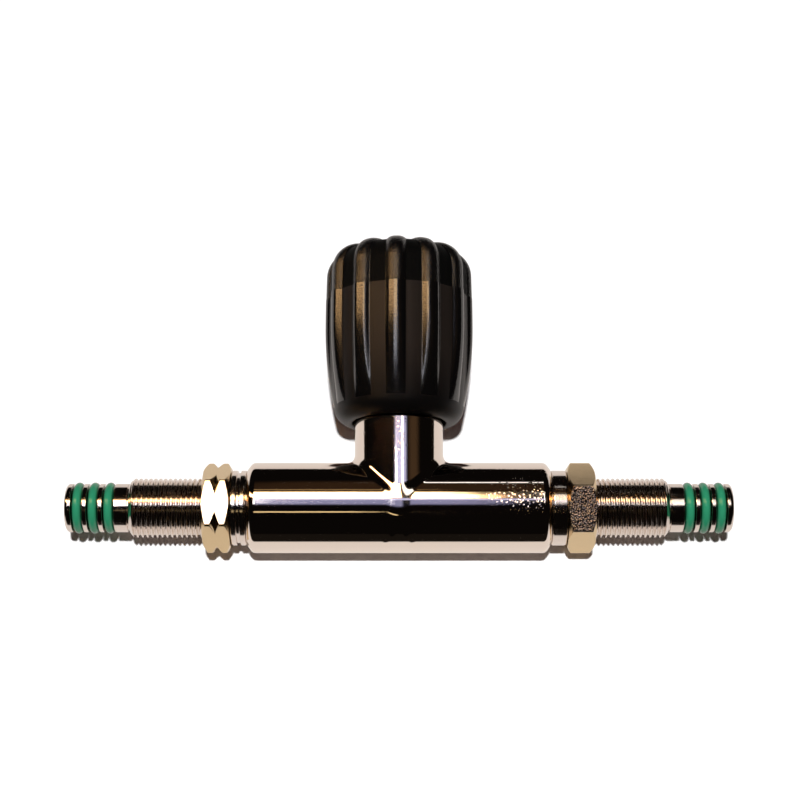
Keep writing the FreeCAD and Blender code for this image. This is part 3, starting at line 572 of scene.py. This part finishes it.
def lock_nut(name, side, turn, notched, body):
    """Hexagon nut: for each angle about X its profile goes up the face, over the cone that trims the
    corners, along the flat and back through the bore. The flat's distance from the axis is half the width
    over flats, over a rounded maximum of the cosines to the six sides. That is a root of the sum of their
    powers, to the sharpness."""
    angles = turns(480)
    # Angles crowd towards the six corners, where the surface turns quickly
    angles = angles - 0.75 / 6 * np.sin(6 * angles)
    sides = np.radians(30 + 60 * np.arange(6))[:, None]
    sharpness = 90
    facing = np.maximum(np.cos(angles - sides), 0) ** sharpness
    hexagon = NUT_FLATS / 2 / facing.sum(axis=0) ** (1 / sharpness)
    corner = NUT_FLATS / 2 / math.cos(math.radians(30))
    trim = np.clip(hexagon - NUT_FACE, 0, None) * NUT_EDGE / (corner - NUT_FACE)
    end = NUT_START + NUT_LENGTH
    face_radius = np.minimum(hexagon, NUT_FACE)
    corners = [(NUT_START, face_radius), (NUT_START + trim, hexagon)]
    rounding = [0.12, 0.12]
    if notched:
        middle = NUT_START + NUT_LENGTH / 2
        floor = corner - NUT_NOTCH
        depth = np.clip(hexagon - floor, 0, None)
        floor_radius = np.minimum(hexagon, floor)
        corners += [(middle - depth, hexagon), (middle, floor_radius), (middle + depth, hexagon)]
        rounding += [0.15, 0.1, 0.15]
    corners += [
        (end - trim, hexagon), (end, face_radius), (end, NUT_BORE + NUT_LEAD), (end - NUT_LEAD, NUT_BORE),
        (NUT_START + NUT_LEAD, NUT_BORE), (NUT_START, NUT_BORE + NUT_LEAD),
    ]
    rounding += [0.12, 0.12, 0.1, 0.1, 0.1, 0.1]
    corners = [np.stack(np.broadcast_arrays(*point, hexagon)[:2], axis=-1) for point in corners]
    profile = soften(np.stack(corners, axis=1), rounding)
    along = side * profile[..., 0].T
    radius = profile[..., 1].T
    # At turn 0 a flat faces +Z
    points = around_bar(along, radius, angles + math.radians(120 - turn))
    piece(name, body, nut_nickel, [patch(points, round_rows=True)],
          [name.replace("_milled", "")], sharp=35.0)


def arc(start, end, radius, count):
    """Points of an arc between two points, bulging to the right of its direction."""
    start, end = np.array(start, float), np.array(end, float)
    chord = end - start
    length = np.linalg.norm(chord)
    across = np.array([chord[1], -chord[0]]) / length
    half = math.asin(length / 2 / radius)
    centre = (start + end) / 2 - across * radius * math.cos(half)
    angle = np.linspace(-half, half, count)[:, None]
    return centre + radius * (across * np.cos(angle) + chord / length * np.sin(angle))


def knob_side(inset, crown):
    """The knob's outline in one plane, inset from the ribs' crest: barrel, long flank and crown, as arcs
    that meet without a kink. The crest and the valley have the same number of points, so that each point
    between them is a mix of two."""
    rise = WIDE_LEVEL - RIM_LEVEL
    drop = WIDE_RADIUS - RIM_RADIUS - inset
    barrel = (rise**2 + drop**2) / (2 * drop)
    flank = FLANK_ROUND - inset
    lean = math.asin((FLANK_TOP - WIDE_LEVEL) / flank)
    across = WIDE_RADIUS - FLANK_ROUND + (flank - crown) * math.cos(lean)
    up = WIDE_LEVEL + (flank - crown) * math.sin(lean)
    shoulder = (across + crown * math.cos(lean), FLANK_TOP)
    over = np.linspace(lean, math.pi / 2, 24)[:, None]
    crown_points = np.concatenate([across + crown * np.cos(over), up + crown * np.sin(over)], axis=1)
    return np.concatenate([
        arc((RIM_RADIUS, RIM_LEVEL), (WIDE_RADIUS - inset, WIDE_LEVEL), barrel, 46)[:-1],
        arc((WIDE_RADIUS - inset, WIDE_LEVEL), shoulder, flank, 40)[:-1],
        crown_points,
    ])


def off_rib(degrees):
    """The angle in radians from the middle of the nearest rib, for degrees counted from a rib's middle."""
    return np.radians(np.abs((degrees + RIB_PITCH / 2) % RIB_PITCH - RIB_PITCH / 2))


def knob_grip():
    """Barrel-shaped grip. Each point lies between the valley's outline and the crest's, by the height of a
    round bar sunk into the surface: the root of its radius squared less the distance squared from the rib's
    middle, less how deep its centre lies."""
    angles = turns(480)
    valley = knob_side(RIB_HEIGHT, CROWN_ROUND - RIB_HEIGHT / 2)
    crest = knob_side(0.0, CROWN_ROUND)

    # Over the top: the valley runs nearly level to the recess and the crest dips to it
    inner = np.linspace(0, 1, 14)[1:, None]
    valley_end = np.array([RECESS_WALL, valley[-1, 1] - VALLEY_DIP])
    crest_end = np.array([RECESS_WALL, crest[-1, 1] - CREST_DIP])
    valley = np.concatenate([valley, valley[-1] + inner * (valley_end - valley[-1])])
    crest = np.concatenate([crest, crest[-1] + inner * (crest_end - crest[-1])])

    distance = off_rib(np.degrees(angles)) * valley[:, :1]
    sunk = RIB_ROUND - RIB_HEIGHT
    height = np.sqrt(np.clip(RIB_ROUND**2 - distance**2, 0, None)) - sunk
    # A soft maximum with the valley rounds the foot of each rib
    height = (height + np.sqrt(height**2 + 4 * RIB_FOOT**2)) / 2 - RIB_FOOT * np.exp(-distance)
    height = np.clip(height / RIB_HEIGHT, 0, None)
    points = valley[:, None, :] + height[..., None] * (crest - valley)[:, None, :]

    # Above the step the surface stands a little further in
    stepped = np.clip((points[..., 1] - STEP_LEVEL) / STEP_RISE, 0, 1)
    fade = np.clip((points[..., 0] - RECESS_WALL) / STEP_FADE, 0, 1)
    points[..., 0] -= STEP_DEPTH * stepped * fade

    foot = soften([
        (RECESS_WALL, valley_end[1] - VALLEY_DIP), (RECESS_WALL, HUB_TOP),
        (HUB_RADIUS - HUB_CHAMFER, HUB_TOP), (HUB_RADIUS, HUB_TOP - HUB_CHAMFER), (HUB_RADIUS, LIP_TOP),
        (LIP_RADIUS, LIP_TOP), (LIP_RADIUS, KNOB_FOOT), (RIM_RADIUS - FOOT_INSET, KNOB_FOOT),
    ], [0.1, 0.1, 0.1, 0.1, 0.1, 0.1, 0.4, 0.3], closed=False)[1:]
    rim = arc((RIM_RADIUS - FOOT_INSET, KNOB_FOOT), (RIM_RADIUS, RIM_LEVEL), RIM_ROUND, 12)[1:-1]
    tail = np.concatenate([foot, rim])
    angles = angles + math.radians(KNOB_TURN)
    grid = np.concatenate([
        around_stem(points[..., 0], points[..., 1], angles), around_stem(tail[:, :1], tail[:, 1:], angles),
    ])
    grip = piece("grip_ribbed", "stem_and_knob", rib_rubber, [patch(grid, round_rows=True)],
                 ["knob_grip"], sharp=50.0)

    # Faces between the ribs and on the rim get their own finish, below the step and above it
    mesh = grip.data
    mesh.materials.append(satin_rubber)
    mesh.materials.append(matt_rubber)
    middle = np.empty(3 * len(mesh.polygons))
    mesh.polygons.foreach_get("center", middle)
    x, y, z = middle.reshape(-1, 3).T / MM
    between = off_rib(np.degrees(np.arctan2(x, z)) - KNOB_TURN) * np.hypot(x, z) > RIB_HALF
    between |= y < RIM_LEVEL + 1
    finish_index = np.where(between, np.where(y > STEP_LEVEL, 2, 1), 0)
    mesh.polygons.foreach_set("material_index", finish_index.astype(np.int32))


valve_body()
connector("left_connector_turned", -1, grooved=True)
connector("right_connector_turned", 1, grooved=False)
lock_nut("left_lock_nut_milled", -1, LEFT_NUT_TURN, True, "left_nut")
lock_nut("right_lock_nut_milled", 1, RIGHT_NUT_TURN, False, "right_nut")
knob_grip()

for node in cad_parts.values():
    for held in node.material_slots:
        slot = held.material.name.split(".")[0] if held.material else ""
        if slot in slot_finishes:
            held.material = slot_finishes[slot]


# The table slopes with the valve, which touches it along the bar and at the knob's widest rib.
TABLE_TILT = math.radians(12.0)
TABLE_HALF = 3.0
PAPER_HALF_WIDTH = 149.0
PAPER_HALF_DEPTH = 136.0
PAPER_MIDDLE = 85.0
PAPER_EDGE = 2.0

# White paper lies under the valve and a dark table beyond it. The camera sees paper everywhere.
table_paper = bpy.data.materials.new("sheet_of_paper")
table_paper.use_nodes = True
tree = table_paper.node_tree
tree.nodes.clear()
axes = add(tree, "SeparateXYZ", Vector=add(tree, "TexCoord", out="Object")).node.outputs
sheet = 1.0
for axis, centre, half in (("X", 0.0, PAPER_HALF_WIDTH), ("Y", PAPER_MIDDLE, PAPER_HALF_DEPTH)):
    off = add(tree, "Math", {"operation": "SUBTRACT"}, _0=axes[axis], _1=centre * MM)
    off = add(tree, "Math", {"operation": "ABSOLUTE"}, _0=off)
    inside = add(tree, "MapRange", Value=off, From_Min=(half - PAPER_EDGE) * MM,
                 From_Max=(half + PAPER_EDGE) * MM, To_Min=1.0, To_Max=0.0)
    sheet = add(tree, "Math", {"operation": "MULTIPLY"}, _0=sheet, _1=inside)
seen = add(tree, "LightPath", out="Is Camera Ray")
paper = add(tree, "Mix", {"data_type": "RGBA"}, out=2, _0=sheet, _6="#15120f", _7="#d9d3ce")
paper = add(tree, "Mix", {"data_type": "RGBA"}, out=2, _0=seen, _6=paper, _7="#ffffff")
add(tree, "OutputMaterial", Surface=add(tree, "BsdfDiffuse", Color=paper))

drop = BAR_RADIUS * MM / math.cos(TABLE_TILT)
rise = TABLE_HALF * math.tan(TABLE_TILT)
table_corners = [
    (-TABLE_HALF, -TABLE_HALF, rise - drop), (TABLE_HALF, -TABLE_HALF, rise - drop),
    (TABLE_HALF, TABLE_HALF, -rise - drop), (-TABLE_HALF, TABLE_HALF, -rise - drop),
]
table_mesh = bpy.data.meshes.new("table_top")
table_mesh.from_pydata(table_corners, [], [(0, 1, 2, 3)])
table_mesh.materials.append(table_paper)
table = bpy.data.objects.new("table_top", table_mesh)
bpy.context.scene.collection.objects.link(table)


# The room: white for the camera, an even dim light on what scatters it, and for gloss a dark studio with
# soft panels overhead. Each row is a panel: its colour and strength, the angles in degrees that it spans
# towards +Y and then round the Y axis from +Z towards +X, and how softly the edges across each fade.
PANELS = (
    ("#ffc98a", 12.0, 18, 24, -75, -12, 0.9, 0.3),
    ("#ffd6a4", 11.0, 14.5, 24, -12, 2.2, 0.7, 0.5),
    ("#fffaf2", 2.0, 3, 31, 5.7, 11, 0.8, 0.2),
    ("#ffe2ae", 4.0, 23, 31, -9, 2.2, 1.0, 0.5),
    ("#d0d2ff", 1.1, 10, 13.6, -10, 18, 1.0, 5),
    ("#c4c8ff", 0.5, -1, 10, -5.2, 2.8, 3, 0.8),
    ("#f4f6ff", 12.0, 1, 11.3, -9, -5.2, 0.5, 0.3),
    ("#ffd89a", 0.5, 36, 37.5, -8, 1, 0.6, 1),
    ("#4a3420", 0.4, 32, 60, -8, 8, 6, 3),
    ("#ffe2a8", 1.3, -21.2, -18.8, -8, -1, 0.4, 0.6),
    ("#ffffff", 2.2, 56.8, 58.8, 0.8, 9, 0.3, 0.3),
    ("#5c4630", 0.5, 5, 17, 26, 50, 3, 8),
)


def panel_mask(tree, along_y, along_x, y_low, y_high, x_low, x_high, soft_y, soft_x):
    """1 inside one panel and 0 outside, as the product of four soft edges."""
    mask = 1.0
    for angle, edge, soft in ((along_y, y_low, soft_y), (along_y, y_high, -soft_y),
                              (along_x, x_low, soft_x), (along_x, x_high, -soft_x)):
        rise = add(tree, "MapRange", SMOOTH_STEP, Value=angle, From_Min=edge - soft, From_Max=edge + soft)
        mask = add(tree, "Math", {"operation": "MULTIPLY"}, _0=mask, _1=rise)
    return mask


world = bpy.data.worlds.new("studio")
world.use_nodes = True
bpy.context.scene.world = world
tree = world.node_tree
tree.nodes.clear()
direction = add(tree, "SeparateXYZ", Vector=add(tree, "TexCoord", out="Generated")).node.outputs
along_y = add(tree, "Math", {"operation": "ARCSINE"}, _0=direction["Y"])
along_y = add(tree, "Math", {"operation": "DEGREES"}, _0=along_y)
along_x = add(tree, "Math", {"operation": "ARCTAN2"}, _0=direction["X"], _1=direction["Z"])
along_x = add(tree, "Math", {"operation": "DEGREES"}, _0=along_x)
total = linear("#0a0807")[:3]
for colour, strength, *angles in PANELS:
    mask = panel_mask(tree, along_y, along_x, *angles)
    glow = [strength * value for value in linear(colour)[:3]]
    light = add(tree, "VectorMath", {"operation": "SCALE"}, Vector=glow, Scale=mask)
    total = add(tree, "VectorMath", {"operation": "ADD"}, _0=total, _1=light)
rays = add(tree, "LightPath").node.outputs
room = add(tree, "Background", Color=total)
even = add(tree, "Background", Color="#ffb4b8", Strength=0.038)
white = add(tree, "Background", Color="#ffffff")
unseen = add(tree, "MixShader", _0=rays["Is Glossy Ray"], _1=even, _2=room)
add(tree, "OutputWorld", Surface=add(tree, "MixShader", _0=rays["Is Camera Ray"], _1=unseen, _2=white))

# One small lamp high over the valve, which throws the narrow shadow towards the bottom of the picture
LAMP_PLACE = (0.0, 94.0, 1500.0)
LAMP_WIDTH = 75.0
lamp = bpy.data.lights.new("flash", "AREA")
lamp.shape = "DISK"
lamp.size = LAMP_WIDTH * MM
lamp.energy = 26.0
flash = bpy.data.objects.new("flash", lamp)
flash.location = [value * MM for value in LAMP_PLACE]
flash.visible_glossy = False
bpy.context.scene.collection.objects.link(flash)

# The camera stands over the table on the bar's far side from the knob, and leans towards the knob
CAMERA_PLACE = (0.3, -99.7, 552.6)
CAMERA_TILT = math.radians(13.6)
view = bpy.data.cameras.new("camera")
view.lens = 82.5
view.sensor_width = 36.0
view.clip_start = 0.01
camera = bpy.data.objects.new("camera", view)
camera.location = [value * MM for value in CAMERA_PLACE]
camera.rotation_euler = (CAMERA_TILT, 0, 0)
bpy.context.scene.collection.objects.link(camera)
bpy.context.scene.camera = camera
bpy.context.scene.view_settings.view_transform = "Standard"
